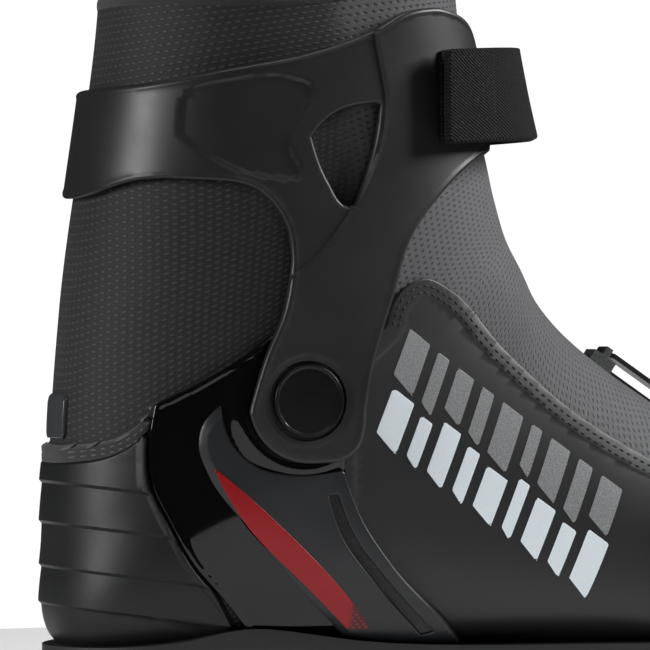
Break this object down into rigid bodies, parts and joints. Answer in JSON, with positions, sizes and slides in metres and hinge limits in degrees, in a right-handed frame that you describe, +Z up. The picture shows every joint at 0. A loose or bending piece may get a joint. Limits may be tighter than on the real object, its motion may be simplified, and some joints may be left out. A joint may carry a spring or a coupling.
{
  "type": "cross country ski boot",
  "caption": "Right skate ski boot with a moulded cuff hinged at the ankle, hook-and-loop shin strap, ribbed heel counter and grooved sole.",
  "frame": {"origin": "on the ground, on the sole's resting face, straight below the ankle pivot's axis and in the boot's middle plane", "axes": "+X to the toe, +Y to the inner side of the foot, +Z up"},
  "size_m": [0.301, 0.1042, 0.2423],
  "materials": {
    "rubber": "satin black moulded rubber",
    "steel": "brushed",
    "shank": "matte glass-filled plastic",
    "board": "pressed fibre board",
    "footbed": "brushed textile on foam",
    "lining": "knitted lining on foam",
    "shaft_textile": "dark grey woven textile with short dashes and a soft sheen",
    "softshell": "grey dimpled softshell",
    "binding_tape": "stitched edge tape",
    "counter_plastic": "matte charcoal with fine grain",
    "quarter_synthetic": "smooth matte synthetic",
    "toe_rubber": "matte rubberised",
    "chassis_gloss": "gloss black",
    "stripe_red": "printed red film",
    "cuff_plastic": "soft-touch matte dark grey",
    "cap_plastic": "satin black",
    "bush": "natural acetal",
    "strap_web": "black loop pile",
    "strap_hook": "black hook tape",
    "zip_metal": "black enamel"
  },
  "bodies": {
    "boot": {"outsole": "rubber", "heel_tread": "rubber", "forefoot_tread": "rubber", "toe_bar": "steel", "shank_plate": "shank", "lasting_board": "board", "footbed": "footbed", "foot_lining": "lining", "upper_fabric": "shaft_textile", "flex_gusset": "softshell", "counter_binding": "binding_tape", "heel_tab": "binding_tape", "heel_counter": "counter_plastic", "toe_cap": "toe_rubber", "quarter_lateral": "quarter_synthetic", "quarter_medial": "quarter_synthetic", "chassis_lateral": "chassis_gloss", "chassis_medial": "chassis_gloss", "stripe_lateral": "stripe_red", "stripe_medial": "stripe_red", "pivot_pin_lateral": "steel", "pivot_pin_medial": "steel", "pivot_washer_lateral": "bush", "pivot_washer_medial": "bush", "tongue_lower": "lining", "zip_tape": "binding_tape", "zip_rail": "zip_metal", "zip_stops": "zip_metal"},
    "cuff": {"cuff_shell": "cuff_plastic", "collar_fabric": "shaft_textile", "collar_lining": "lining", "collar_binding": "binding_tape", "tongue_upper": "lining", "pivot_bush_lateral": "bush", "pivot_bush_medial": "bush", "pivot_cap_lateral": "cap_plastic", "pivot_cap_medial": "cap_plastic", "strap_anchor": "cuff_plastic", "anchor_rivets": "steel", "loop_patch": "strap_web"},
    "strap": {"strap_web": "strap_web", "hook_patch": "strap_hook"},
    "zip_slider": {"zip_slider": "zip_metal"},
    "zip_pull": {"zip_pull": "zip_metal"}
  },
  "joints": [
    {"name": "cuff_flex", "type": "hinge", "parent": "boot", "child": "cuff", "pos_m": [0, 0, 0.1], "axis": [0, 1, 0], "range_deg": [-8, 15], "stiffness_Nm_per_rad": 3, "deforming": ["flex_gusset"]},
    {"name": "strap_open", "type": "hinge", "parent": "cuff", "child": "strap", "pos_m": [0.056, 0.05, 0.197], "axis": [0, 0, 1], "range_deg": [0, 100]},
    {"name": "zip_slide", "type": "slide", "parent": "boot", "child": "zip_slider", "axis": [0.834, 0, -0.5518], "range_m": [0, 0.044]},
    {"name": "zip_pull_swing", "type": "hinge", "parent": "zip_slider", "child": "zip_pull", "pos_m": [0.12728, 0.01, 0.11505], "axis": [0, 1, 0], "range_deg": [-110, 0]}
  ]
}
